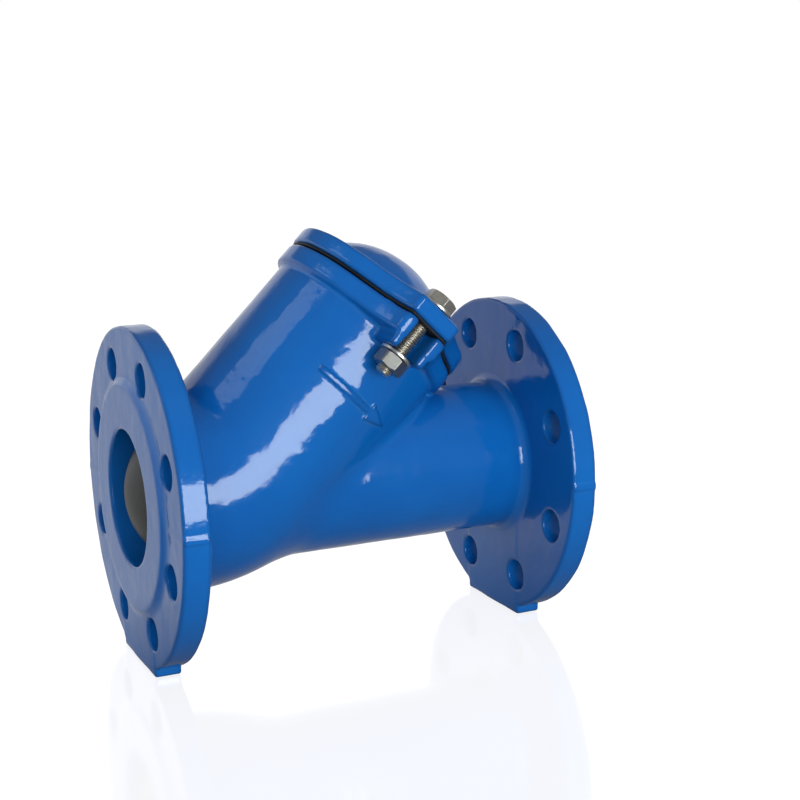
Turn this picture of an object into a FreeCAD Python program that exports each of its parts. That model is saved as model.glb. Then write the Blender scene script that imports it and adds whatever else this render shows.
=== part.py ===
import FreeCAD, Part
import math
import os

# Ball check valve DN80 PN16, Y-pattern body with flanged ends and a bolted domed cover.
# Millimetres. +X is the flow direction, +Z is up, and the origin is on the floor under
# the middle of the face-to-face length. The pipe axis runs along X at height PIPE_Z.
# The branch axis starts on the pipe axis at BRANCH_X and leans BRANCH_TILT towards +X.
# "right" and "left" are as seen looking downstream: right is -Y, left is +Y.

V = FreeCAD.Vector
X_AXIS = V(1, 0, 0)
Y_AXIS = V(0, 1, 0)
Z_AXIS = V(0, 0, 1)

# pipe run and flanges (EN 1092-2 PN16, EN 558 series 48)
FACE_TO_FACE = 260.0
FLANGE_R = 100.0
PIPE_Z = FLANGE_R
FLANGE_T = 19.0             # over the raised face
RAISED_H = 3.0
RAISED_R = 66.0
RAISED_ROOT_R = 70.0
FLANGE_EDGE_R = 1.5         # rounded rim corners
BOLT_CIRCLE_R = 80.0
BOLT_HOLE_R = 9.5
BOLT_HOLES = 8
BORE_R = 40.0
BORE_CHAMFER = 1.2
NECK_FILLET_R = 7.0
FOOT_HALF_Y = 33.0
PARTING_RIB_W = 4.0         # casting seam across the flange rims
PARTING_RIB_H = 0.7

# body castings
OUTLET_TUBE_R = 46.3
BODY_R = 58.8
CAVITY_R = 53.2
BRANCH_X = -71.0
BRANCH_TILT = 45.0
BEND_LENGTH = 28.0          # from the axes' crossing to each end of the bend
BEND_R = BEND_LENGTH / math.tan(math.radians(BRANCH_TILT / 2))
CHAMBER_X = -104.0          # downstream side of the seat

# ball, resting on the seat
BALL_R = 46.5
BALL_CORE_R = 43.0
BALL_X = -83.2
SEAT_GAP = 0.3
SEAT_R = BALL_R + SEAT_GAP
BALL_OPEN_U = 121.0         # ball centre along the branch axis when fully open
GUIDE_R = BALL_R + 0.15     # clear way of the ball from its seat into the branch

# rim, gasket and cover, as distances along the branch axis
RIM_U = 138.0
RIM_T = 13.5
RIM_R = 62.8
RIM_EDGE_R = 2.4
GASKET_T = 1.6
GASKET_INSET = 1.0
COVER_U = RIM_U + GASKET_T
COVER_T = 11.4
COVER_EDGE_R = 2.0
DOME_CENTRE_U = 116.3
DOME_R = 58.3
DOME_INNER_R = 51.8
DOME_FILLET_R = 5.0

# ears and lugs at the two cover bolts
EAR_END_Y = 82.5
EAR_HALF_W = 15.3
EAR_ROOT_R = 26.0
EAR_CORNER_R = 2.5
BOLT_Y = 70.9
LUG_ROOT_Y = 48.8            # buried inside the body wall
LUG_U = 117.0
LUG_HALF_W = 13.2            # below the rim
SLOT_HALF_W = 7.7
COVER_HOLE_R = 5.5

# M10 fasteners
THREAD_R = 5.0
THREAD_GAP = 0.06
BOLT_LENGTH = 50.0
HEX_FLAT = 17.0
HEAD_H = 6.4
NUT_H = 8.4
WASHER_R = 10.5
WASHER_HOLE_R = 5.25
WASHER_T = 2.0
BOLT_TIP_CHAMFER = 1.0
HEX_CHAMFER = 30.0
HEAD_TURN = 22.5            # of a corner from the t axis, as tightened
NUT_TURN = 35.0

# raised flow arrow on each side of the branch
ARROW_U = 84.0
ARROW_TAIL_T = -24.0
ARROW_TIP_T = 32.0
ARROW_HEAD_L = 16.0
ARROW_HALF_SHAFT = 1.9
ARROW_HALF_HEAD = 5.6
ARROW_H = 1.5

# casting stub in the crotch between the rim and the outlet tube
STUB_R = 3.9
STUB_X = 59.5
STUB_HALF_Y = 12.0
STUB_RISE = 38.5             # centre of its round top over the pipe axis
STUB_ROOT_L = 8.0

CLEAR = 1.0                  # how far cutters run past the material, and joined parts overlap
MATCH = 0.01                 # tolerance when picking edges by position

BRANCH_ORIGIN = V(BRANCH_X, 0, PIPE_Z)
BRANCH_FRAME = FreeCAD.Placement(BRANCH_ORIGIN, FreeCAD.Rotation(Y_AXIS, BRANCH_TILT))
SIDES = (("right", -1), ("left", 1))


def disc(radius, low, high):
    """Cylinder along local Z from low to high."""
    return Part.makeCylinder(radius, high - low, V(0, 0, low), Z_AXIS)


def pipe(radius, x_low, x_high):
    """Cylinder along X on the pipe axis."""
    return Part.makeCylinder(radius, x_high - x_low, V(x_low, 0, PIPE_Z), X_AXIS)


def box(low, high):
    """Box between two opposite corners."""
    size = high.sub(low)
    return Part.makeBox(size.x, size.y, size.z, low)


def tilted(shape):
    """Moves a shape from the branch's own frame to the valve's frame."""
    placed = shape.copy()
    placed.Placement = BRANCH_FRAME.multiply(placed.Placement)
    return placed


def revolved(points, axis_point, axis):
    """Solid of revolution of a closed polygon."""
    face = Part.Face(Part.makePolygon(points + [points[0]]))
    return face.revolve(axis_point, axis, 360)


def bend(radius):
    """Pipe bend from the inlet direction to the branch direction."""
    start_x = BRANCH_X - BEND_LENGTH
    ring = Part.Wire(Part.makeCircle(radius, V(start_x, 0, PIPE_Z), X_AXIS))
    return Part.Face(ring).revolve(V(start_x, 0, PIPE_Z + BEND_R), V(0, -1, 0), BRANCH_TILT)


def eared_disc(radius, half_w, end_y, root_r, corner_r, low, high):
    """Disc with an ear at each end of Y, blended into the round outline, in the branch frame."""
    root_t = half_w + root_r
    root_y = math.sqrt((radius + root_r) ** 2 - root_t ** 2)
    reach = radius / (radius + root_r)
    on_disc = V(root_t * reach, root_y * reach, low)
    mid_dir = (on_disc - V(root_t, root_y, low)).normalize() + V(-1, 0, 0)
    root_mid = V(root_t, root_y, low) + mid_dir.normalize() * root_r
    on_side = V(half_w, root_y, low)
    side_end = V(half_w, end_y - corner_r, low)
    corner_mid = V(half_w - corner_r, end_y - corner_r, low) + V(1, 1, 0).normalize() * corner_r
    corner_end = V(half_w - corner_r, end_y, low)

    def flip(point, sign_t, sign_y):
        return V(point.x * sign_t, point.y * sign_y, point.z)

    edges = []
    for sign_y in (1, -1):
        for sign_t in (1, -1):
            p = [flip(q, sign_t, sign_y) for q in
                 (on_disc, root_mid, on_side, side_end, corner_mid, corner_end)]
            edges.append(Part.Arc(p[0], p[1], p[2]).toShape())
            edges.append(Part.LineSegment(p[2], p[3]).toShape())
            edges.append(Part.Arc(p[3], p[4], p[5]).toShape())
        edges.append(Part.LineSegment(flip(corner_end, 1, sign_y), flip(corner_end, -1, sign_y)).toShape())
    for sign_t in (1, -1):
        edges.append(Part.Arc(flip(on_disc, sign_t, 1), V(radius * sign_t, 0, low),
                              flip(on_disc, sign_t, -1)).toShape())
    outline = Part.Wire(Part.__sortEdges__(edges))
    return Part.Face(outline).extrude(V(0, 0, high - low))


def flange(side, tube_r):
    """Flange with its neck fillet and foot. side is -1 at the inlet and +1 at the outlet."""
    face_x = FACE_TO_FACE / 2
    rim_x = face_x - RAISED_H
    back_x = face_x - FLANGE_T
    edge = FLANGE_EDGE_R
    neck = NECK_FILLET_R

    def at(x, radius):
        return V(side * x, 0, PIPE_Z + radius)

    diagonal = math.sqrt(0.5)
    edges = [
        Part.LineSegment(at(face_x, 0), at(face_x, RAISED_R)).toShape(),
        Part.LineSegment(at(face_x, RAISED_R), at(rim_x, RAISED_ROOT_R)).toShape(),
        Part.LineSegment(at(rim_x, RAISED_ROOT_R), at(rim_x, FLANGE_R - edge)).toShape(),
        Part.Arc(at(rim_x, FLANGE_R - edge),
                 at(rim_x - edge * (1 - diagonal), FLANGE_R - edge * (1 - diagonal)),
                 at(rim_x - edge, FLANGE_R)).toShape(),
        Part.LineSegment(at(rim_x - edge, FLANGE_R), at(back_x + edge, FLANGE_R)).toShape(),
        Part.Arc(at(back_x + edge, FLANGE_R),
                 at(back_x + edge * (1 - diagonal), FLANGE_R - edge * (1 - diagonal)),
                 at(back_x, FLANGE_R - edge)).toShape(),
        Part.LineSegment(at(back_x, FLANGE_R - edge), at(back_x, tube_r + neck)).toShape(),
        Part.Arc(at(back_x, tube_r + neck),
                 at(back_x - neck * (1 - diagonal), tube_r + neck * (1 - diagonal)),
                 at(back_x - neck, tube_r)).toShape(),
        Part.LineSegment(at(back_x - neck, tube_r), at(back_x - neck, 0)).toShape(),
        Part.LineSegment(at(back_x - neck, 0), at(face_x, 0)).toShape(),
    ]
    body = Part.Face(Part.Wire(edges)).revolve(V(0, 0, PIPE_Z), X_AXIS, 360)
    near_x, far_x = sorted((side * rim_x, side * back_x))
    foot = box(V(near_x, -FOOT_HALF_Y, 0), V(far_x, FOOT_HALF_Y, PIPE_Z / 2))
    rib_reach = FLANGE_R + PARTING_RIB_H
    rib = box(V(near_x + edge / 2, -rib_reach, PIPE_Z - PARTING_RIB_W),
              V(far_x - edge / 2, rib_reach, PIPE_Z))
    return body.fuse([foot, rib])


def bolt_holes(side):
    """Cutters for the flange's bolt holes, straddling the vertical centre line."""
    x_low = min(side * FACE_TO_FACE / 2, side * (FACE_TO_FACE / 2 - FLANGE_T)) - CLEAR
    holes = []
    for index in range(BOLT_HOLES):
        angle = math.radians((index + 0.5) * 360 / BOLT_HOLES)
        centre = V(x_low, BOLT_CIRCLE_R * math.cos(angle), PIPE_Z + BOLT_CIRCLE_R * math.sin(angle))
        holes.append(Part.makeCylinder(BOLT_HOLE_R, FLANGE_T + 2 * CLEAR, centre, X_AXIS))
    return holes


def bore_chamfer(side):
    """Cutter that chamfers the edge of the bore at a flange face."""
    face_x = side * (FACE_TO_FACE / 2 + CLEAR)
    inner_x = side * (FACE_TO_FACE / 2 - BORE_CHAMFER)
    points = [
        V(inner_x, 0, PIPE_Z),
        V(inner_x, 0, PIPE_Z + BORE_R),
        V(face_x, 0, PIPE_Z + BORE_R + BORE_CHAMFER + CLEAR),
        V(face_x, 0, PIPE_Z),
    ]
    return revolved(points, V(0, 0, PIPE_Z), X_AXIS)


def lug(sign):
    """Lug under the rim's ear at one cover bolt, in the branch frame."""
    y_low, y_high = sorted((sign * LUG_ROOT_Y, sign * EAR_END_Y))
    return box(V(-LUG_HALF_W, y_low, LUG_U), V(LUG_HALF_W, y_high, RIM_U))


def lug_slot(sign):
    """Open slot that lets a cover bolt swing into its lug, in the branch frame."""
    low = LUG_U - CLEAR
    high = RIM_U + CLEAR
    y_low, y_high = sorted((sign * BOLT_Y, sign * (EAR_END_Y + CLEAR)))
    mouth = box(V(-SLOT_HALF_W, y_low, low), V(SLOT_HALF_W, y_high, high))
    root = Part.makeCylinder(SLOT_HALF_W, high - low, V(0, sign * BOLT_Y, low), Z_AXIS)
    return mouth.fuse(root)


def flow_arrow(sign):
    """Raised arrow on one side of the branch, pointing to the outlet, in the branch frame."""
    neck_t = ARROW_TIP_T - ARROW_HEAD_L
    y = sign * BODY_R / 2
    outline = [
        V(ARROW_TAIL_T, y, ARROW_U - ARROW_HALF_SHAFT),
        V(neck_t, y, ARROW_U - ARROW_HALF_SHAFT),
        V(neck_t, y, ARROW_U - ARROW_HALF_HEAD),
        V(ARROW_TIP_T, y, ARROW_U),
        V(neck_t, y, ARROW_U + ARROW_HALF_HEAD),
        V(neck_t, y, ARROW_U + ARROW_HALF_SHAFT),
        V(ARROW_TAIL_T, y, ARROW_U + ARROW_HALF_SHAFT),
    ]
    prism = Part.Face(Part.makePolygon(outline + [outline[0]])).extrude(V(0, sign * BODY_R, 0))
    skin = disc(BODY_R + ARROW_H, ARROW_U - ARROW_HALF_HEAD - CLEAR, ARROW_U + ARROW_HALF_HEAD + CLEAR)
    return prism.common(skin)


def ball_way():
    """Straight clear way of the ball from its seat to fully open."""
    start = V(BALL_X, 0, PIPE_Z)
    way = BRANCH_FRAME.multVec(V(0, 0, BALL_OPEN_U)) - start
    return Part.makeCylinder(GUIDE_R, way.Length, start, way)


def stubs():
    """Rounded casting stubs on top of the outlet tube, under the rim."""
    shapes = []
    for _, sign in SIDES:
        top = V(STUB_X, sign * STUB_HALF_Y, PIPE_Z + STUB_RISE)
        shapes.append(Part.makeCylinder(STUB_R, STUB_ROOT_L, top - Z_AXIS * STUB_ROOT_L, Z_AXIS))
        shapes.append(Part.makeSphere(STUB_R, top))
    return shapes


def make_body():
    """Body casting: flanged run, branch, eared rim with slotted lugs, and the inside passages."""
    half = FACE_TO_FACE / 2
    back = half - FLANGE_T
    bend_x = BRANCH_X - BEND_LENGTH
    rim_low = RIM_U - RIM_T
    rim = eared_disc(RIM_R, EAR_HALF_W, EAR_END_Y, EAR_ROOT_R, EAR_CORNER_R, rim_low, RIM_U)
    rim = rim.makeFillet(RIM_EDGE_R, [e for e in rim.Edges if abs(e.CenterOfMass.z - rim_low) < MATCH])
    outside = [
        flange(-1, BODY_R),
        flange(1, OUTLET_TUBE_R),
        pipe(BODY_R, -back - CLEAR, bend_x),
        bend(BODY_R),
        pipe(OUTLET_TUBE_R, BRANCH_X, back),
        tilted(disc(BODY_R, BEND_LENGTH, RIM_U - RIM_T / 2)),
        tilted(rim),
    ]
    for _, sign in SIDES:
        outside += [tilted(lug(sign)), tilted(flow_arrow(sign))]
    outside += stubs()
    passages = [
        pipe(BORE_R, -half - CLEAR, CHAMBER_X + CLEAR),
        bore_chamfer(-1),
        bore_chamfer(1),
        Part.makeSphere(SEAT_R, V(BALL_X, 0, PIPE_Z)),
        ball_way(),
        pipe(CAVITY_R, CHAMBER_X, bend_x),
        bend(CAVITY_R),
        tilted(disc(CAVITY_R, BEND_LENGTH, RIM_U + CLEAR)),
        pipe(BORE_R, BRANCH_X, half + CLEAR),
    ]
    passages += bolt_holes(-1) + bolt_holes(1)
    passages += [tilted(lug_slot(sign)) for _, sign in SIDES]
    solid = outside[0].fuse(outside[1:])
    return solid.cut(passages).removeSplitter()


def make_cover():
    """Domed cover with two bolt ears, in the branch frame."""
    low = COVER_U
    high = COVER_U + COVER_T
    plate = eared_disc(RIM_R, EAR_HALF_W, EAR_END_Y, EAR_ROOT_R, EAR_CORNER_R, low, high)
    plate = plate.makeFillet(COVER_EDGE_R, [e for e in plate.Edges
                                            if abs(e.CenterOfMass.z - high) < MATCH])
    ball = Part.makeSphere(DOME_R, V(0, 0, DOME_CENTRE_U))
    dome = ball.common(disc(DOME_R, low + CLEAR, DOME_CENTRE_U + DOME_R + CLEAR))
    cover = plate.fuse(dome)
    joint_r = math.sqrt(DOME_R ** 2 - (high - DOME_CENTRE_U) ** 2)
    crease = [e for e in cover.Edges if not e.Degenerated
              and abs(e.BoundBox.ZLength) < MATCH and abs(e.BoundBox.ZMin - high) < MATCH
              and abs(e.BoundBox.XLength / 2 - joint_r) < 5 * MATCH]
    cover = cover.makeFillet(DOME_FILLET_R, crease)
    cutters = [Part.makeSphere(DOME_INNER_R, V(0, 0, DOME_CENTRE_U))]
    for _, sign in SIDES:
        hole = disc(COVER_HOLE_R, low - CLEAR, high + CLEAR)
        hole.translate(V(0, sign * BOLT_Y, 0))
        cutters.append(hole)
    return cover.cut(cutters)


def make_gasket():
    """Flat gasket between rim and cover, in the branch frame."""
    sheet = eared_disc(RIM_R - GASKET_INSET, EAR_HALF_W - GASKET_INSET, EAR_END_Y - GASKET_INSET,
                       EAR_ROOT_R, EAR_CORNER_R, RIM_U, COVER_U)
    cutters = [disc(CAVITY_R, RIM_U - CLEAR, COVER_U + CLEAR)]
    for _, sign in SIDES:
        hole = disc(COVER_HOLE_R, RIM_U - CLEAR, COVER_U + CLEAR)
        hole.translate(V(0, sign * BOLT_Y, 0))
        cutters.append(hole)
    return sheet.cut(cutters)


def hexagon(height, turn):
    """Hexagon prism with both ends chamfered, standing on the local XY plane."""
    corner_r = HEX_FLAT / math.sqrt(3)
    corners = [V(corner_r * math.cos(math.radians(60 * i + turn)),
                 corner_r * math.sin(math.radians(60 * i + turn)), 0) for i in range(6)]
    prism = Part.Face(Part.makePolygon(corners + [corners[0]])).extrude(V(0, 0, height))
    flat_r = HEX_FLAT / 2
    drop = (corner_r - flat_r) * math.tan(math.radians(HEX_CHAMFER))
    profile = [V(0, 0, 0), V(flat_r, 0, 0), V(corner_r, 0, drop), V(corner_r, 0, height - drop),
               V(flat_r, 0, height), V(0, 0, height)]
    return prism.common(revolved(profile, V(0, 0, 0), Z_AXIS))


def moved(shape, sign, u):
    """Places a fastener on a cover bolt's axis at height u, in the valve's frame."""
    placed = shape.copy()
    placed.translate(V(0, sign * BOLT_Y, u))
    return tilted(placed)


def make_bolt():
    """Hexagon bolt, with the underside of its head at local zero."""
    shank = Part.makeCylinder(THREAD_R, BOLT_LENGTH, V(0, 0, -BOLT_LENGTH), Z_AXIS)
    tip = [e for e in shank.Edges if len(e.Vertexes) == 1
           and abs(e.CenterOfMass.z + BOLT_LENGTH) < MATCH]
    shank = shank.makeChamfer(BOLT_TIP_CHAMFER, tip)
    return shank.fuse(hexagon(HEAD_H, HEAD_TURN)).removeSplitter()


def make_nut():
    """Hexagon nut standing on local zero."""
    return hexagon(NUT_H, NUT_TURN).cut(disc(THREAD_R + THREAD_GAP, -CLEAR, NUT_H + CLEAR))


def make_washer():
    """Flat washer standing on local zero."""
    return disc(WASHER_R, 0, WASHER_T).cut(disc(WASHER_HOLE_R, -CLEAR, WASHER_T + CLEAR))


def make_ball():
    """Metal core and its bonded rubber coat."""
    centre = V(BALL_X, 0, PIPE_Z)
    core = Part.makeSphere(BALL_CORE_R, centre)
    coat = Part.makeSphere(BALL_R, centre).cut(core)
    return core, coat


def main():
    os.makedirs("parts", exist_ok=True)
    core, coat = make_ball()
    nodes = {
        "body_casting": make_body(),
        "cover": tilted(make_cover()),
        "cover_gasket": tilted(make_gasket()),
        "ball_core": core,
        "ball_rubber_coat": coat,
    }
    cover_top = COVER_U + COVER_T
    for side, sign in SIDES:
        nodes[side + "_head_washer"] = moved(make_washer(), sign, cover_top)
        nodes[side + "_cover_bolt"] = moved(make_bolt(), sign, cover_top + WASHER_T)
        nodes[side + "_nut_washer"] = moved(make_washer(), sign, LUG_U - WASHER_T)
        nodes[side + "_cover_nut"] = moved(make_nut(), sign, LUG_U - WASHER_T - NUT_H)
    for name, shape in nodes.items():
        solids = shape.Solids
        shape = solids[0] if len(solids) == 1 else shape
        shape.exportStep("parts/" + name + ".step")
        print(name, "valid", shape.isValid(), "solids", len(solids), "volume", round(shape.Volume))


main()
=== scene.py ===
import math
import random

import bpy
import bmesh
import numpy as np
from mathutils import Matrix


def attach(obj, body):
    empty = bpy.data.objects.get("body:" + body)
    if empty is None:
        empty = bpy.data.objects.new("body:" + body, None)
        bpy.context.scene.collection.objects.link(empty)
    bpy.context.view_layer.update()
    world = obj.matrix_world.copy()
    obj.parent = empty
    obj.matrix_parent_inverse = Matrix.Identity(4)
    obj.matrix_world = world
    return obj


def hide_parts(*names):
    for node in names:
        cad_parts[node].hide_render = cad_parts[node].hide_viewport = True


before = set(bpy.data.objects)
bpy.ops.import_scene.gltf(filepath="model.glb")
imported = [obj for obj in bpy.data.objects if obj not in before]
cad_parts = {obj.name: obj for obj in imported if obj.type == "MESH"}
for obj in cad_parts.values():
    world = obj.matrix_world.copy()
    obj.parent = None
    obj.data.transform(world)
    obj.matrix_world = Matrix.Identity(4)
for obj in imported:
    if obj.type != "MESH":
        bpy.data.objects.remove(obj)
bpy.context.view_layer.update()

# Looks of a flanged Y-pattern ball check valve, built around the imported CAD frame.
# The castings are modelled as distance fields in millimetres, so that every joint between
# two surfaces is a true cast fillet, and are meshed at a fine step. Lengths are turned into
# metres when a mesh is made. The branch frame (t, y, u) has its origin where the branch
# axis meets the pipe axis, with u along the branch and t square to it, pointing down and
# downstream. "right" is -Y and "left" is +Y, as seen looking downstream.

import openvdb
from mathutils import Matrix, Vector, noise

MM = 0.001
SEED = 11
FAR = 1000.0                # field value where a shape has nothing to say, mm
OVERLAP = 3.0               # how far joined shapes run into each other, mm

# ------------------------------------------------------------------ driving sizes, mm
# pipe run and flanges
FACE_X = 130.0
FLANGE_R = 100.0
PIPE_Z = FLANGE_R
FLANGE_T = 19.0             # over the raised face
RAISED_H = 3.0
RAISED_R = 66.0
RAISED_ROOT_R = 70.0
BOLT_CIRCLE_R = 80.0
BOLT_HOLE_R = 9.5
BOLT_HOLES = 8
BORE_R = 40.0
FOOT_HALF_Y = 33.0
FOOT_TOP_Z = 60.0           # inside the flange disc
RIB_W = 4.0                 # casting seam across the flange rims
RIB_H = 0.55
RIB_BACK_GAP = 0.6
RIB_FRONT_GAP = 0.2
TUBE_END_X = FACE_X - 10    # tubes end inside the flanges
NECK_X = FACE_X - 30        # only the flanges and their necks lie beyond

# body
OUTLET_TUBE_R = 46.3
BODY_R = 58.8
CAVITY_R = 53.2
BRANCH_X = -71.0
BRANCH_TILT = math.radians(45)
BEND_LENGTH = 28.0
BEND_R = BEND_LENGTH / math.tan(BRANCH_TILT / 2)
BEND_X = BRANCH_X - BEND_LENGTH
CHAMBER_X = -104.0          # downstream side of the seat
SEAT_LAP = 1.0              # how far the inlet bore runs on into the chamber
BALL_R = 46.5
BALL_SINK = 0.06            # of the uneven rubber inside the nominal radius
BALL_SWELL = 0.05
BALL_LUMPS = 3.1            # unevennesses per radius
BALL_X = -83.2
SEAT_R = 46.8

# rim, gasket and cover, as distances along the branch
RIM_U = 138.0
RIM_T = 13.5
RIM_R = 62.8
RIM_MARGIN = 5.0            # round the rim and its ears, where its face is cut flat
GASKET_T = 1.6
GASKET_INSET = 0.9
GASKET_WANDER = 0.2
COVER_U = RIM_U + GASKET_T
COVER_T = 11.4
DOME_CENTRE_U = 116.3
DOME_R = 58.3
DOME_INNER_R = 51.8

# ears, lugs and slots at the two cover bolts
EAR_END_Y = 82.5
EAR_HALF_W = 15.3
EAR_ROOT_R = 26.0
EAR_CORNER_R = 2.5
BOLT_Y = 70.9
LUG_ROOT_Y = 40.0           # buried in the body
LUG_U = 117.0
LUG_HALF_W = 13.2
SLOT_HALF_W = 7.7
SLOT_LOW_U = 110.0          # the slot's cutter starts below the lug
COVER_HOLE_R = 5.5

# M10 fasteners
THREAD_R = 5.0
THREAD_PITCH = 1.5
THREAD_DEPTH = 0.92
THREAD_RELIEF = 0.03        # of the crest inside the nominal radius
FLANK_SLOPE = 2.3           # share of the depth gained over one pitch
THREAD_GAP = 0.06
RUNOUT_R = THREAD_R - 1     # bare shank right under the head
BOLT_LENGTH = 50.0
TIP_R = THREAD_R - 1.1
TIP_SLOPE = 0.9
HEX_FLAT = 17.0
HEX_LAND = 0.35             # from the flat of the hexagon in to its chamfer's inner edge
HEX_CHAMFER = math.radians(27)
HEX_EDGE_R = 0.22
HEAD_TURN = math.radians(22.5)
NUT_TURN = math.radians(35)
HEAD_H = 6.4
HEAD_DISH = 0.25            # depth of the shallow dish in the head's top
HEAD_RIM_W = 1.1
HEAD_DISH_W = 0.5
NUT_H = 8.4
NUT_SINK = 0.7              # depth of the countersink of the nut's thread
NUT_SINK_R = 0.55
WASHER_R = 10.5
WASHER_HOLE_R = 5.25
WASHER_HOLE_EDGE = 0.2
WASHER_ROLL_R = 0.5
WASHER_T = 2.0
AXIS_R = 0.02               # a lathe's innermost ring, nearly closed

# raised flow arrow, and the casting stubs in the crotch
ARROW_U = 84.0
ARROW_TAIL_T = -24.0
ARROW_TIP_T = 32.0
ARROW_HEAD_L = 16.0
ARROW_HALF_SHAFT = 1.9
ARROW_HALF_HEAD = 5.6
ARROW_H = 1.5
ARROW_SWELL = 0.3
STUB_X = 59.5
STUB_Y = 12.0
STUB_Z = 138.5
STUB_R = 3.9

# fillets (ROOT) and rounded edges (EDGE) of the castings
FLANGE_EDGE = 1.6
FOOT_EDGE = 1.4
FOOT_ROOT = 1.2
RIB_EDGE = 0.6
RIB_ROOT = 0.8
RAISED_EDGE = 1.0
RAISED_ROOT = 1.6
NECK_ROOT = 6.0
TUBE_ROOT = 5.0
STUB_ROOT = 2.0
RIM_EDGE = 2.6
RIM_ROOT = 2.4
LUG_EDGE = 1.6
LUG_ROOT = 2.0
ARROW_EDGE = 0.5
SEAT_ROOT = 1.5
BORE_EDGE = 1.6
BOLT_HOLE_EDGE = 1.1
SLOT_EDGE = 1.2
FACED_EDGE = 0.8            # where a machined face meets the cast skin
RIM_FACE_EDGE = 1.5
COVER_EDGE = 2.2
COVER_FACE_EDGE = 0.6
DOME_ROOT = 4.5
DOME_MOUTH_EDGE = 1.0
COVER_HOLE_EDGE = 0.8
GASKET_EDGE = 0.7
GASKET_BORE_EDGE = 0.4
GASKET_HOLE_EDGE = 0.3

# sand-cast unevenness under the paint
GRAIN_H = 0.16
GRAIN_WAVES = 36
GRAIN_SHORTEST = 7.0
GRAIN_LONGEST = 34.0
SKIN_INSET = 0.12           # keeps the uneven skin inside the nominal size

# mesh steps of the distance fields
BODY_STEP = 1.0
COVER_STEP = 0.8
GASKET_STEP = 0.5

BRANCH = Matrix.Translation((BRANCH_X, 0, PIPE_Z)) @ Matrix.Rotation(BRANCH_TILT, 4, "Y")
SIDES = (("right", -1), ("left", 1))


# ------------------------------------------------------------------ distance fields
def join(a, b, radius=0.0):
    """Union of two fields, with a concave fillet of that radius."""
    if radius == 0:
        return np.minimum(a, b)
    reach = np.hypot(np.maximum(radius - a, 0), np.maximum(radius - b, 0))
    return np.maximum(radius, np.minimum(a, b)) - reach


def cross(a, b, radius):
    """Intersection of two fields, with a rounded edge of that radius."""
    return -join(-a, -b, radius)


def cut(a, b, radius):
    """Field a with field b taken away, with a rounded edge of that radius."""
    return -join(-a, b, radius)


def slab(value, low, high):
    """Field of low <= value <= high."""
    return np.abs(value - (low + high) / 2) - (high - low) / 2


def block(qa, qb, qc, radius):
    """Box with rounded edges from its three slab fields."""
    a = np.maximum(qa + radius, 0)
    b = np.maximum(qb + radius, 0)
    c = np.maximum(qc + radius, 0)
    inside = np.minimum(np.maximum(np.maximum(qa, qb), qc) + radius, 0)
    return np.sqrt(a * a + b * b + c * c) + inside - radius


def to_branch(x, z):
    """Branch coordinates t and u of points given by x and z."""
    dx = x - BRANCH_X
    dz = z - PIPE_Z
    c = math.cos(BRANCH_TILT)
    s = math.sin(BRANCH_TILT)
    return dx * c - dz * s, dx * s + dz * c


def main_run(x, y, z, t, u):
    """Distance to the centre line of the inlet, the bend and the branch."""
    straight = np.where(x < BEND_X, np.hypot(y, z - PIPE_Z), FAR)
    in_plane = np.hypot(x - BEND_X, z - PIPE_Z - BEND_R) - BEND_R
    curve = np.where((x >= BEND_X) & (u < BEND_LENGTH), np.hypot(in_plane, y), FAR)
    branch = np.where(u >= BEND_LENGTH, np.hypot(t, y), FAR)
    return np.minimum(np.minimum(straight, curve), branch)


def flange_field(x, y, z, r, side):
    """Flange disc with its raised face, foot and casting seam."""
    depth = side * x
    rim_x = FACE_X - RAISED_H
    back_x = FACE_X - FLANGE_T
    thickness = slab(depth, back_x, rim_x)
    disc = cross(thickness, r - FLANGE_R, FLANGE_EDGE)
    foot = block(thickness, np.abs(y) - FOOT_HALF_Y, slab(z, 0, FOOT_TOP_Z), FOOT_EDGE)
    rib = block(slab(depth, back_x + RIB_BACK_GAP, rim_x - RIB_FRONT_GAP),
                np.abs(y) - FLANGE_R - RIB_H, slab(z, PIPE_Z - RIB_W, PIPE_Z), RIB_EDGE)
    slope = (RAISED_ROOT_R - RAISED_R) / RAISED_H
    cone = (r - RAISED_ROOT_R + (depth - rim_x) * slope) / math.hypot(1, slope)
    raised = cross(cone, slab(depth, rim_x - OVERLAP, FACE_X), RAISED_EDGE)
    field = join(disc, foot, FOOT_ROOT)
    field = join(field, rib, RIB_ROOT)
    return join(field, raised, RAISED_ROOT)


def eared(t, y, inset):
    """Round plate outline with two broadly blended ears, drawn in by an inset."""
    outline = join(np.hypot(t, y) - RIM_R + inset, np.abs(t) - EAR_HALF_W + inset, EAR_ROOT_R)
    return cross(outline, np.abs(y) - EAR_END_Y + inset, EAR_CORNER_R)


def rim_field(t, y, u):
    """Eared rim of the body with the lug under each ear."""
    rim = cross(eared(t, y, 0), slab(u, RIM_U - RIM_T, RIM_U), RIM_EDGE)
    lugs = block(np.abs(t) - LUG_HALF_W, slab(np.abs(y), LUG_ROOT_Y, EAR_END_Y),
                 slab(u, LUG_U, RIM_U), LUG_EDGE)
    return join(rim, lugs, LUG_ROOT)


def slot_field(t, y):
    """Open slots of the lugs."""
    past = np.abs(y) - BOLT_Y
    return np.where(past < 0, np.hypot(t, past), np.abs(t)) - SLOT_HALF_W


def arrow_field(t, y, u):
    """Raised flow arrow on both sides of the branch."""
    neck = ARROW_TIP_T - ARROW_HEAD_L
    v = np.abs(u - ARROW_U)
    shaft = np.maximum(slab(t, ARROW_TAIL_T, neck + 1), v - ARROW_HALF_SHAFT)
    slope = ARROW_HALF_HEAD / ARROW_HEAD_L
    head = np.maximum((v - (ARROW_TIP_T - t) * slope) / math.hypot(1, slope), neck - t)
    outline = join(shaft, head)
    skin = np.maximum(np.hypot(t, y) - BODY_R - ARROW_H, BODY_R / 2 - np.abs(y))
    return cross(outline - ARROW_SWELL, skin, ARROW_EDGE)


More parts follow.
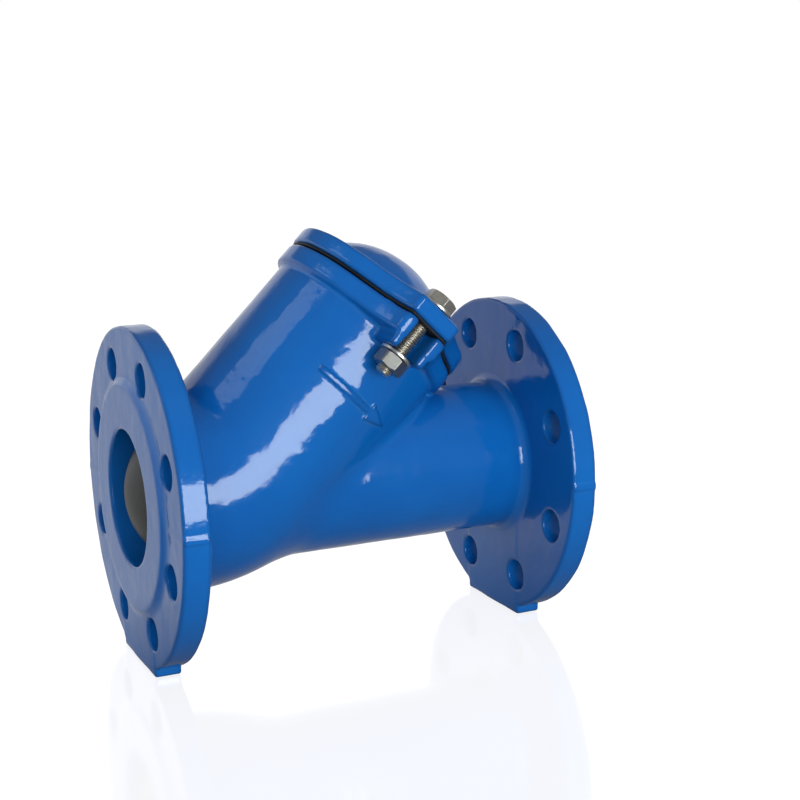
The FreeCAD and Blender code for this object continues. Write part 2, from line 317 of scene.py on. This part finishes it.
def make_waves():
    """Random wave vectors, phases and gains of the castings' unevenness."""
    rng = random.Random(SEED)
    waves = []
    for _ in range(GRAIN_WAVES):
        direction = Vector([rng.gauss(0, 1) for _ in range(3)]).normalized()
        length = GRAIN_SHORTEST * (GRAIN_LONGEST / GRAIN_SHORTEST) ** rng.random()
        waves.append((direction * (2 * math.pi / length), rng.uniform(0, 2 * math.pi),
                      (length / GRAIN_LONGEST) / math.sqrt(GRAIN_WAVES)))
    return waves


WAVES = make_waves()


def casting_skin(x, y, z):
    """Shallow unevenness of a sand casting under thick paint, as summed waves."""
    total = np.zeros_like(x)
    for k, phase, gain in WAVES:
        total += gain * np.sin(k[0] * x + k[1] * y + k[2] * z + phase)
    return total * GRAIN_H + SKIN_INSET


def body_field(x, y, z):
    """The whole body casting."""
    t, u = to_branch(x, z)
    r = np.hypot(y, z - PIPE_Z)
    centre_line = main_run(x, y, z, t, u)
    tube = np.maximum(centre_line - BODY_R, np.maximum(-TUBE_END_X - x, u - RIM_U + OVERLAP))
    outlet = np.maximum(r - OUTLET_TUBE_R, slab(x, BRANCH_X, TUBE_END_X))
    field = join(tube, outlet, TUBE_ROOT)
    stub = np.sqrt((x - STUB_X) ** 2 + (np.abs(y) - STUB_Y) ** 2 + (z - STUB_Z) ** 2) - STUB_R
    field = join(field, stub, STUB_ROOT)
    field = join(field, rim_field(t, y, u), RIM_ROOT)
    field = join(field, arrow_field(t, y, u), ARROW_EDGE)
    for side in (-1, 1):
        field = join(field, flange_field(x, y, z, r, side), NECK_ROOT)
    field = field + casting_skin(x, y, z)
    field = cross(field, np.abs(x) - FACE_X, FACED_EDGE)
    field = cross(field, -z, FACED_EDGE)
    near_rim = (np.hypot(t, y) < RIM_R + RIM_MARGIN) | (np.abs(t) < EAR_HALF_W + RIM_MARGIN)
    field = np.where(near_rim & (x < NECK_X), cross(field, u - RIM_U, RIM_FACE_EDGE), field)

    for index in range(BOLT_HOLES // 2):
        angle = math.radians((index + 0.5) * 360 / BOLT_HOLES)
        along = np.abs(y * math.cos(angle) + (z - PIPE_Z) * math.sin(angle))
        across = y * math.sin(angle) - (z - PIPE_Z) * math.cos(angle)
        hole = np.hypot(along - BOLT_CIRCLE_R, across) - BOLT_HOLE_R
        hole = np.where(np.abs(x) > NECK_X, hole, FAR)
        field = cut(field, hole, BOLT_HOLE_EDGE)
    bores = np.where((x < CHAMBER_X + SEAT_LAP) | (x > BRANCH_X), r - BORE_R, FAR)
    seat = np.sqrt((x - BALL_X) ** 2 + r * r) - SEAT_R
    chamber = np.maximum(centre_line - CAVITY_R, CHAMBER_X - x)
    hollow = join(join(bores, chamber, SEAT_ROOT), seat)
    field = cut(field, hollow, BORE_EDGE)
    return cut(field, np.maximum(slot_field(t, y), SLOT_LOW_U - u), SLOT_EDGE)


def cover_holes(t, y):
    """Holes of the two cover bolts."""
    return np.hypot(t, np.abs(y) - BOLT_Y) - COVER_HOLE_R


def cover_field(t, y, u):
    """The domed cover, in the branch frame."""
    plate = cross(eared(t, y, 0), slab(u, COVER_U, COVER_U + COVER_T), COVER_EDGE)
    reach = np.sqrt(t * t + y * y + (u - DOME_CENTRE_U) ** 2)
    dome = np.maximum(reach - DOME_R, COVER_U + OVERLAP - u)
    field = join(plate, dome, DOME_ROOT) + casting_skin(t, y, u)
    field = cross(field, COVER_U - u, COVER_FACE_EDGE)
    field = cut(field, reach - DOME_INNER_R, DOME_MOUTH_EDGE)
    return cut(field, cover_holes(t, y), COVER_HOLE_EDGE)


def gasket_field(t, y, u):
    """The flat gasket, in the branch frame, with a slightly wavy outline."""
    around = np.arctan2(y, t)
    wander = GASKET_WANDER * (np.sin(5 * around + 1.0) + 0.5 * np.sin(11 * around))
    sheet = eared(t, y, GASKET_INSET) + wander
    field = cross(sheet, slab(u, RIM_U, COVER_U), GASKET_EDGE)
    field = cut(field, np.hypot(t, y) - CAVITY_R, GASKET_BORE_EDGE)
    return cut(field, cover_holes(t, y), GASKET_HOLE_EDGE)


# ------------------------------------------------------------------ meshes
def mesh_object(name, points, faces):
    """New object from points in metres and faces."""
    mesh = bpy.data.meshes.new(name)
    mesh.from_pydata(points, [], faces)
    mesh.validate()
    mesh.polygons.foreach_set("use_smooth", [True] * len(mesh.polygons))
    mesh.update()
    piece = bpy.data.objects.new(name, mesh)
    bpy.context.scene.collection.objects.link(piece)
    return piece


def from_field(name, field, low, high, step, place=Matrix.Identity(4)):
    """Meshes the zero surface of a field between two corners, slice by slice."""
    low = np.array(low, np.float32)
    count = [int(math.ceil((h - l) / step)) + 1 for l, h in zip(low, high)]
    axes = [low[i] + step * np.arange(count[i], dtype=np.float32) for i in range(3)]
    values = np.empty(count, np.float32)
    b, c = np.meshgrid(axes[1], axes[2], indexing="ij")
    for index, a in enumerate(axes[0]):
        values[index] = field(np.full_like(b, a), b, c)
    band = 3 * step
    grid = openvdb.FloatGrid(band)
    grid.copyFromArray(np.clip(values, -band, band))
    points, triangles, quads = grid.convertToPolygons(0.0, 0.0)
    points = (points * step + low) * MM
    turned = points @ np.array(place.to_3x3()).T
    points = turned + np.array(place.translation) * MM
    mesh = bpy.data.meshes.new(name)
    mesh.vertices.add(len(points))
    mesh.vertices.foreach_set("co", points.astype(np.float32).ravel())
    corners = np.concatenate([quads[:, ::-1].ravel(), triangles[:, ::-1].ravel()]).astype(np.int32)
    starts = np.concatenate([np.arange(len(quads)) * 4,
                             len(quads) * 4 + np.arange(len(triangles)) * 3]).astype(np.int32)
    mesh.loops.add(len(corners))
    mesh.loops.foreach_set("vertex_index", corners)
    mesh.polygons.add(len(starts))
    mesh.polygons.foreach_set("loop_start", starts)
    mesh.polygons.foreach_set("use_smooth", np.ones(len(starts), bool))
    mesh.update(calc_edges=True)
    mesh.validate()
    piece = bpy.data.objects.new(name, mesh)
    bpy.context.scene.collection.objects.link(piece)
    return piece


def lathe(name, rings, place):
    """Closed mesh from rings of (radius function, height function) of the angle."""
    segments = 96
    points = []
    for radius, height in rings:
        for i in range(segments):
            angle = 2 * math.pi * i / segments
            r = radius(angle) * MM
            points.append(place @ Vector((r * math.cos(angle), r * math.sin(angle), height(angle) * MM)))
    faces = []
    for j in range(len(rings)):
        k = (j + 1) % len(rings)
        for i in range(segments):
            n = (i + 1) % segments
            faces.append((j * segments + i, j * segments + n, k * segments + n, k * segments + i))
    return mesh_object(name, points, faces)


def on_bolt(sign, u):
    """Placement of a fastener on a cover bolt's axis, at height u, in metres."""
    place = BRANCH @ Matrix.Translation((0, sign * BOLT_Y, u))
    place.translation *= MM
    return place


def flat(value):
    """Constant ring function."""
    return lambda angle: value


def hex_side(turn):
    """Ring function: distance to the side of a hexagon with a corner at that angle."""
    return lambda angle: HEX_FLAT / 2 / math.cos((angle - turn) % (math.pi / 3) - math.pi / 6)


def hex_edge(turn, height, inner_r, sign):
    """Ring function: height of the curved edge where a chamfer cone meets the hexagon's sides."""
    side = hex_side(turn)
    slope = math.tan(HEX_CHAMFER)
    return lambda angle: height - sign * (side(angle) - inner_r) * slope


def soften(piece):
    """Bakes a small bevel into the sharp edges of a fastener, with even shading."""
    bevel = piece.modifiers.new("edge", "BEVEL")
    bevel.width = HEX_EDGE_R * MM
    bevel.segments = 2
    bevel.limit_method = "ANGLE"
    bevel.angle_limit = math.radians(35)
    bevel.harden_normals = True
    depsgraph = bpy.context.evaluated_depsgraph_get()
    mesh = bpy.data.meshes.new_from_object(piece.evaluated_get(depsgraph))
    piece.modifiers.clear()
    piece.data = mesh


def make_nut(name, sign, u):
    """Nut with chamfered ends and a countersunk thread, standing on u."""
    hole_r = THREAD_R + THREAD_GAP
    ring_r = HEX_FLAT / 2 - HEX_LAND
    rings = [
        (flat(hole_r + NUT_SINK_R), flat(0)),
        (flat(ring_r), flat(0)),
        (hex_side(NUT_TURN), hex_edge(NUT_TURN, 0, ring_r, -1)),
        (hex_side(NUT_TURN), hex_edge(NUT_TURN, NUT_H, ring_r, 1)),
        (flat(ring_r), flat(NUT_H)),
        (flat(hole_r + NUT_SINK_R), flat(NUT_H)),
        (flat(hole_r), flat(NUT_H - NUT_SINK)),
        (flat(hole_r), flat(NUT_SINK)),
    ]
    piece = lathe(name, rings, on_bolt(sign, u))
    soften(piece)
    return piece


def thread_radius(phase):
    """Radius of the thread's flank at a phase of one pitch, with a narrow flat crest."""
    rise = min(abs(phase % 1.0 - 0.5) * FLANK_SLOPE, 1.0)
    return THREAD_R - THREAD_RELIEF - THREAD_DEPTH * (1 - rise)


def make_bolt(name, sign, u):
    """Hexagon bolt with a real helical thread, its head standing on u."""
    segments = 48
    rows_per_pitch = 10
    place = on_bolt(sign, u)
    rows = int(BOLT_LENGTH / THREAD_PITCH * rows_per_pitch) + 2 * rows_per_pitch
    points = []
    for j in range(rows):
        for i in range(segments):
            turn = i / segments
            depth = min(max((j / rows_per_pitch - turn) * THREAD_PITCH, 0), BOLT_LENGTH)
            radius = thread_radius(j / rows_per_pitch) if depth else RUNOUT_R
            radius = min(radius, TIP_R + (BOLT_LENGTH - depth) * TIP_SLOPE)
            angle = 2 * math.pi * turn
            points.append(place @ Vector((radius * math.cos(angle) * MM, radius * math.sin(angle) * MM,
                                          -depth * MM)))
    faces = []
    for j in range(rows - 1):
        for i in range(segments):
            n = (i + 1) % segments
            # one turn on, the thread is a pitch further down, so the seam joins shifted rows
            if n:
                faces.append((j * segments + i, (j + 1) * segments + i, (j + 1) * segments + n,
                              j * segments + n))
            elif j >= rows_per_pitch:
                k = j - rows_per_pitch
                faces.append((j * segments + i, (j + 1) * segments + i, (k + 1) * segments, k * segments))
    shank = mesh_object(name + "_shank", points, faces)
    close = bmesh.new()
    close.from_mesh(shank.data)
    bmesh.ops.remove_doubles(close, verts=close.verts, dist=1e-6)
    bmesh.ops.holes_fill(close, edges=[e for e in close.edges if e.is_boundary])
    bmesh.ops.recalc_face_normals(close, faces=close.faces)
    close.to_mesh(shank.data)
    close.free()

    ring_r = HEX_FLAT / 2 - HEX_LAND
    rings = [
        (flat(AXIS_R), flat(0)),
        (flat(ring_r), flat(0)),
        (hex_side(HEAD_TURN), flat(HEX_LAND)),
        (hex_side(HEAD_TURN), hex_edge(HEAD_TURN, HEAD_H, ring_r, 1)),
        (flat(ring_r), flat(HEAD_H)),
        (flat(ring_r - HEAD_RIM_W), flat(HEAD_H)),
        (flat(ring_r - HEAD_RIM_W - HEAD_DISH_W), flat(HEAD_H - HEAD_DISH)),
        (flat(AXIS_R), flat(HEAD_H - HEAD_DISH)),
    ]
    head = lathe(name, rings, place)
    soften(head)
    return merge(head, shank)


def merge(keep, other):
    """Joins two meshes into one piece."""
    both = bmesh.new()
    both.from_mesh(keep.data)
    both.from_mesh(other.data)
    both.to_mesh(keep.data)
    both.free()
    bpy.data.objects.remove(other)
    return keep


def make_washer(name, sign, u):
    """Flat washer with rolled edges, standing on u."""
    roll = WASHER_ROLL_R
    steps = 6
    bends = [math.pi / 2 * k / steps for k in range(steps + 1)]
    rings = [(flat(WASHER_R - roll + roll * math.sin(b)), flat(roll - roll * math.cos(b))) for b in bends]
    rings += [(flat(WASHER_R - roll + roll * math.cos(b)), flat(WASHER_T - roll + roll * math.sin(b)))
              for b in bends]
    edge = WASHER_HOLE_EDGE
    rings += [
        (flat(WASHER_HOLE_R + edge), flat(WASHER_T)),
        (flat(WASHER_HOLE_R), flat(WASHER_T - edge)),
        (flat(WASHER_HOLE_R), flat(edge)),
        (flat(WASHER_HOLE_R + edge), flat(0)),
    ]
    return lathe(name, rings, on_bolt(sign, u))


def make_ball():
    """Rubber coat of the ball, slightly uneven."""
    segments = 160
    rows = 100
    centre = Vector((BALL_X, 0, PIPE_Z)) * MM
    points = []
    for j in range(rows + 1):
        lat = math.pi * (j / rows - 0.5)
        for i in range(segments):
            lon = 2 * math.pi * i / segments
            spot = Vector((math.cos(lat) * math.cos(lon), math.cos(lat) * math.sin(lon), math.sin(lat)))
            radius = BALL_R - BALL_SINK + BALL_SWELL * noise.noise(spot * BALL_LUMPS)
            points.append(centre + spot * radius * MM)
    faces = []
    for j in range(rows):
        for i in range(segments):
            n = (i + 1) % segments
            faces.append((j * segments + i, j * segments + n, (j + 1) * segments + n,
                          (j + 1) * segments + i))
    ball = mesh_object("ball_rubber_skin", points, faces)
    tidy = bmesh.new()
    tidy.from_mesh(ball.data)
    bmesh.ops.remove_doubles(tidy, verts=tidy.verts, dist=1e-6)
    tidy.to_mesh(ball.data)
    tidy.free()
    return ball


# ------------------------------------------------------------------ materials
def new_material(name):
    """Empty node material with its Principled shader."""
    material = bpy.data.materials.new(name)
    material.use_nodes = True
    tree = material.node_tree
    return material, tree, tree.nodes["Principled BSDF"]


def add(tree, kind, inputs=(), **settings):
    """Adds a node, sets its properties and its inputs."""
    node = tree.nodes.new(kind)
    for key, value in settings.items():
        setattr(node, key, value)
    for key, value in inputs:
        if isinstance(value, bpy.types.NodeSocket):
            tree.links.new(value, node.inputs[key])
        else:
            node.inputs[key].default_value = value
    return node


def noise_at(tree, coords, scale, detail=2.0, rough=0.5):
    """Noise texture value at a scale given per metre."""
    return add(tree, "ShaderNodeTexNoise", [("Vector", coords), ("Scale", scale), ("Detail", detail),
                                            ("Roughness", rough)]).outputs["Fac"]


def ramp(tree, value, stops):
    """Colour ramp over (place, colour) stops."""
    node = add(tree, "ShaderNodeValToRGB", [("Fac", value)])
    band = node.color_ramp
    while len(band.elements) < len(stops):
        band.elements.new(0.5)
    for element, (place, colour) in zip(band.elements, stops):
        element.position = place
        element.color = (*colour, 1)
    return node.outputs["Color"]


def enamel():
    """Thick glossy blue epoxy over cast iron: slow waves, fine orange peel, small dust nibs.

    Painted shade darkens the colour in hollows, and a painted highlight lightens it to a pale line on
    edges.
    """
    material, tree, shader = new_material("blue_epoxy")
    coords = add(tree, "ShaderNodeTexCoord").outputs["Object"]
    tone = noise_at(tree, coords, 14, 3)
    colour = ramp(tree, tone, [(0.3, (0.0030, 0.106, 0.400)), (0.7, (0.0045, 0.128, 0.455))])
    # painted shade in hollows and painted highlight on edges, read from the mesh's pointiness
    painted_shade_and_edge_highlight = ramp(tree, add(tree, "ShaderNodeNewGeometry").outputs["Pointiness"],
                  [(0.43, (0.45, 0.50, 0.55)), (0.495, (1, 1, 1)), (0.505, (1, 1, 1)),
                   (0.60, (8.0, 1.7, 1.15))])
    tint = add(tree, "ShaderNodeMix", [(0, 1.0), (6, colour), (7, painted_shade_and_edge_highlight)], data_type="RGBA",
               blend_type="MULTIPLY")
    tree.links.new(tint.outputs[2], shader.inputs["Base Color"])
    speckle = noise_at(tree, coords, 420, 2)
    rough = add(tree, "ShaderNodeMapRange", [("Value", speckle), ("From Min", 0.3), ("From Max", 0.7),
                                             ("To Min", 0.06), ("To Max", 0.12)]).outputs["Result"]
    tree.links.new(rough, shader.inputs["Roughness"])
    shader.inputs["IOR"].default_value = 1.52
    slow = noise_at(tree, coords, 70, 2, 0.5)
    peel = noise_at(tree, coords, 300, 2, 0.6)
    nibs = noise_at(tree, coords, 900, 1, 0.5)
    dust = ramp(tree, nibs, [(0.70, (0, 0, 0)), (0.78, (1, 1, 1))])
    bump_slow = add(tree, "ShaderNodeBump", [("Height", slow), ("Strength", 0.5), ("Distance", 0.0007)])
    bump_peel = add(tree, "ShaderNodeBump", [("Height", peel), ("Strength", 0.3), ("Distance", 0.0002),
                                             ("Normal", bump_slow.outputs["Normal"])])
    bump = add(tree, "ShaderNodeBump", [("Height", dust), ("Strength", 0.25), ("Distance", 0.0001),
                                        ("Normal", bump_peel.outputs["Normal"])])
    tree.links.new(bump.outputs["Normal"], shader.inputs["Normal"])
    return material


def rubber(name, dark, light, rough_low, rough_high):
    """Moulded black rubber with faint bloom."""
    material, tree, shader = new_material(name)
    coords = add(tree, "ShaderNodeTexCoord").outputs["Object"]
    bloom = noise_at(tree, coords, 45, 5, 0.65)
    tree.links.new(ramp(tree, bloom, [(0.35, dark), (0.7, light)]), shader.inputs["Base Color"])
    rough = add(tree, "ShaderNodeMapRange", [("Value", bloom), ("To Min", rough_low),
                                             ("To Max", rough_high)]).outputs["Result"]
    tree.links.new(rough, shader.inputs["Roughness"])
    grain = noise_at(tree, coords, 900, 3)
    bump = add(tree, "ShaderNodeBump", [("Height", grain), ("Strength", 0.3), ("Distance", 0.0001)])
    tree.links.new(bump.outputs["Normal"], shader.inputs["Normal"])
    return material


def stainless(name, colour_low, colour_high, rough_low, rough_high):
    """Stainless steel with drawn marks, warm staining and a darker colour in its hollows."""
    material, tree, shader = new_material(name)
    coords = add(tree, "ShaderNodeTexCoord").outputs["Object"]
    stain = noise_at(tree, coords, 260, 4, 0.6)
    steel = ramp(tree, stain, [(0.3, colour_low), (0.7, colour_high)])
    # darker colour in the hollows, read from the mesh's pointiness
    hollow = ramp(tree, add(tree, "ShaderNodeNewGeometry").outputs["Pointiness"],
                  [(0.42, (0.20, 0.19, 0.16)), (0.50, (1, 1, 1))])
    colour = add(tree, "ShaderNodeMix", [(0, 1.0), (6, steel), (7, hollow)], data_type="RGBA",
                 blend_type="MULTIPLY")
    tree.links.new(colour.outputs[2], shader.inputs["Base Color"])
    shader.inputs["Metallic"].default_value = 1.0
    marks = noise_at(tree, coords, 1500, 3, 0.7)
    rough = add(tree, "ShaderNodeMapRange", [("Value", marks), ("To Min", rough_low),
                                             ("To Max", rough_high)]).outputs["Result"]
    tree.links.new(rough, shader.inputs["Roughness"])
    bump = add(tree, "ShaderNodeBump", [("Height", marks), ("Strength", 0.06), ("Distance", 0.00004)])
    tree.links.new(bump.outputs["Normal"], shader.inputs["Normal"])
    return material


def dress(piece, material, body, node):
    """Gives a piece its material and its body, and hides the CAD node it stands for."""
    piece.data.materials.clear()
    piece.data.materials.append(material)
    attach(piece, body)
    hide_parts(node)


# ------------------------------------------------------------------ camera, stage and light
def make_camera():
    """Camera at the catalogue view: slightly above the pipe axis, inlet end nearer."""
    camera = bpy.data.cameras.new("view")
    camera.sensor_width = 36
    camera.lens = 68.13
    camera.clip_start = 0.01
    holder = bpy.data.objects.new("view", camera)
    holder.location = (-0.34617, -0.83868, 0.32312)
    holder.rotation_euler = [math.radians(a) for a in (78.856, 0.891, -25.248)]
    bpy.context.scene.collection.objects.link(holder)
    bpy.context.scene.camera = holder


def make_light(name, azimuth, elevation, distance, width, height, strength, colour):
    """Rectangular softbox that faces the valve's middle from a direction in degrees.

    Distances and sizes are in metres, and strength is the box's radiance.
    """
    middle = Vector((0, 0, 0.12))
    a = math.radians(azimuth)
    e = math.radians(elevation)
    away = Vector((math.cos(e) * math.cos(a), math.cos(e) * math.sin(a), math.sin(e)))
    light = bpy.data.lights.new(name, "AREA")
    light.shape = "RECTANGLE"
    light.size = width
    light.size_y = height
    light.energy = strength * width * height * math.pi
    light.color = colour
    box = bpy.data.objects.new(name, light)
    box.location = middle + away * distance
    box.rotation_euler = away.to_track_quat("Z", "Y").to_euler()
    box.visible_camera = False
    bpy.context.scene.collection.objects.link(box)
    return box


def make_world():
    """White studio wall behind the valve, dim room in front of it and overhead."""
    world = bpy.data.worlds.new("studio")
    world.use_nodes = True
    tree = world.node_tree
    tree.nodes.clear()
    direction = add(tree, "ShaderNodeTexCoord").outputs["Generated"]
    parts = add(tree, "ShaderNodeSeparateXYZ", [("Vector", direction)])
    back = add(tree, "ShaderNodeMapRange", [("Value", parts.outputs["Y"]), ("From Min", 0.0),
                                            ("From Max", 0.35), ("To Min", 0.0), ("To Max", 1.0)])
    low = add(tree, "ShaderNodeMapRange", [("Value", parts.outputs["Z"]), ("From Min", 0.38),
                                           ("From Max", 0.50), ("To Min", 1.0), ("To Max", 0.0)])
    wall = add(tree, "ShaderNodeMath", [(0, back.outputs["Result"]), (1, low.outputs["Result"])],
               operation="MULTIPLY")
    level = add(tree, "ShaderNodeMapRange", [("Value", wall.outputs["Value"]), ("To Min", 0.20),
                                             ("To Max", 0.9)])
    room = add(tree, "ShaderNodeBackground", [("Color", (0.93, 0.95, 1.0, 1)),
                                              ("Strength", level.outputs["Result"])])
    plain = add(tree, "ShaderNodeBackground", [("Color", (1, 1, 1, 1)), ("Strength", 1.0)])
    seen = add(tree, "ShaderNodeLightPath").outputs["Is Camera Ray"]
    mix = add(tree, "ShaderNodeMixShader", [("Fac", seen), (1, room.outputs[0]), (2, plain.outputs[0])])
    out = add(tree, "ShaderNodeOutputWorld")
    tree.links.new(mix.outputs[0], out.inputs["Surface"])
    bpy.context.scene.world = world


def make_floor():
    """Plain white studio floor with a faint sheen, which bounces more light behind the valve."""
    material, tree, _ = new_material("studio_floor")
    tree.nodes.clear()
    coords = add(tree, "ShaderNodeTexCoord").outputs["Object"]
    tone = noise_at(tree, coords, 3, 2)
    pale = ramp(tree, tone, [(0.3, (0.97, 0.97, 0.975)), (0.7, (1.0, 1.0, 1.0))])
    glow = add(tree, "ShaderNodeEmission", [("Color", pale), ("Strength", 0.86)])
    sheen = add(tree, "ShaderNodeBsdfGlossy", [("Color", (0.24, 0.24, 0.26, 1)), ("Roughness", 0.10)])
    matt = add(tree, "ShaderNodeBsdfDiffuse", [("Color", (0.10, 0.10, 0.10, 1))])
    top = add(tree, "ShaderNodeAddShader", [(0, glow.outputs[0]), (1, sheen.outputs[0])])
    surface = add(tree, "ShaderNodeAddShader", [(0, top.outputs[0]), (1, matt.outputs[0])])
    depth = add(tree, "ShaderNodeSeparateXYZ", [("Vector", coords)]).outputs["Y"]
    level = add(tree, "ShaderNodeMapRange", [("Value", depth), ("From Min", -0.04), ("From Max", 0.12),
                                             ("To Min", 0.14), ("To Max", 0.62)])
    bounce = add(tree, "ShaderNodeEmission", [("Color", pale), ("Strength", level.outputs["Result"])])
    seen = add(tree, "ShaderNodeLightPath").outputs["Is Camera Ray"]
    mix = add(tree, "ShaderNodeMixShader", [("Fac", seen), (1, bounce.outputs[0]), (2, surface.outputs[0])])
    out = add(tree, "ShaderNodeOutputMaterial")
    tree.links.new(mix.outputs[0], out.inputs["Surface"])
    reach = 6.0
    corners = [(-reach, -reach, 0), (reach, -reach, 0), (reach, reach, 0), (-reach, reach, 0)]
    floor = mesh_object("studio_floor", corners, [(0, 1, 2, 3)])
    floor.data.materials.append(material)


def make_studio():
    """Camera, floor, room, two softboxes that show in the gloss, and three fills that don't."""
    make_camera()
    make_floor()
    make_world()
    make_light("key_softbox", -86, 5.4, 1.0, 0.54, 0.46, 8.2, (0.90, 0.98, 1.0))
    make_light("left_softbox", 178, 53, 1.3, 0.62, 0.22, 1.3, (0.84, 0.95, 1.0))
    fills = (
        make_light("top_fill", -50, 60, 1.6, 0.6, 0.6, 2.6, (1.0, 1.0, 1.0)),
        make_light("front_fill", -112, 10, 1.6, 0.9, 0.9, 3.4, (1.0, 1.0, 1.0)),
        make_light("left_fill", 185, 6, 0.8, 0.4, 0.4, 2.0, (1.0, 1.0, 1.0)),
    )
    for fill in fills:
        fill.visible_glossy = False
    bpy.context.scene.view_settings.view_transform = "Standard"


# ------------------------------------------------------------------ assembly
def build():
    """All the pieces, each with its material, body and node."""
    blue = enamel()
    # each grid starts off the round numbers, so that no flat face runs through its points
    body = from_field("valve_body_casting", body_field, (-132.37, -103.43, -2.31),
                      (132, 103, 243), BODY_STEP)
    dress(body, blue, "valve_body", "body_casting")
    cover = from_field("domed_cover", cover_field, (-64.27, -86.31, COVER_U - 2.17),
                       (64, 86, 177), COVER_STEP, BRANCH)
    dress(cover, blue, "cover", "cover")
    gasket = from_field("flat_gasket", gasket_field, (-64.13, -86.17, RIM_U - 1.57),
                        (64, 86, COVER_U + 1.5), GASKET_STEP, BRANCH)
    dress(gasket, rubber("gasket_rubber", (0.004, 0.004, 0.005), (0.010, 0.010, 0.011), 0.5, 0.7),
          "valve_body", "cover_gasket")
    ball_coat = make_ball()
    dress(ball_coat, rubber("ball_rubber", (0.022, 0.023, 0.023), (0.045, 0.046, 0.044), 0.38, 0.6),
          "ball", "ball_rubber_coat")

    steel_bolt = stainless("bolt_steel", (0.62, 0.57, 0.49), (0.78, 0.73, 0.64), 0.32, 0.48)
    steel_nut = stainless("nut_steel", (0.33, 0.32, 0.30), (0.44, 0.43, 0.40), 0.34, 0.48)
    steel_washer = stainless("washer_steel", (0.74, 0.72, 0.68), (0.88, 0.86, 0.82), 0.26, 0.40)
    top = COVER_U + COVER_T
    for side, sign in SIDES:
        dress(make_washer(side + "_head_washer_steel", sign, top), steel_washer,
              "cover", side + "_head_washer")
        dress(make_bolt(side + "_bolt_steel", sign, top + WASHER_T), steel_bolt,
              "cover", side + "_cover_bolt")
        dress(make_washer(side + "_nut_washer_steel", sign, LUG_U - WASHER_T), steel_washer,
              side + "_washer", side + "_nut_washer")
        dress(make_nut(side + "_nut_steel", sign, LUG_U - WASHER_T - NUT_H), steel_nut,
              side + "_nut", side + "_cover_nut")
    dress_core()


def dress_core():
    """Cast metal on the ball's core, which is carried over from the CAD."""
    material, tree, shader = new_material("ball_core_cast")
    coords = add(tree, "ShaderNodeTexCoord").outputs["Object"]
    tone = noise_at(tree, coords, 60, 3)
    tree.links.new(ramp(tree, tone, [(0.3, (0.5, 0.5, 0.5)), (0.7, (0.62, 0.62, 0.63))]),
                   shader.inputs["Base Color"])
    shader.inputs["Metallic"].default_value = 1.0
    shader.inputs["Roughness"].default_value = 0.55
    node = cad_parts["ball_core"]
    node.data.materials.clear()
    node.data.materials.append(material)


make_studio()
build()
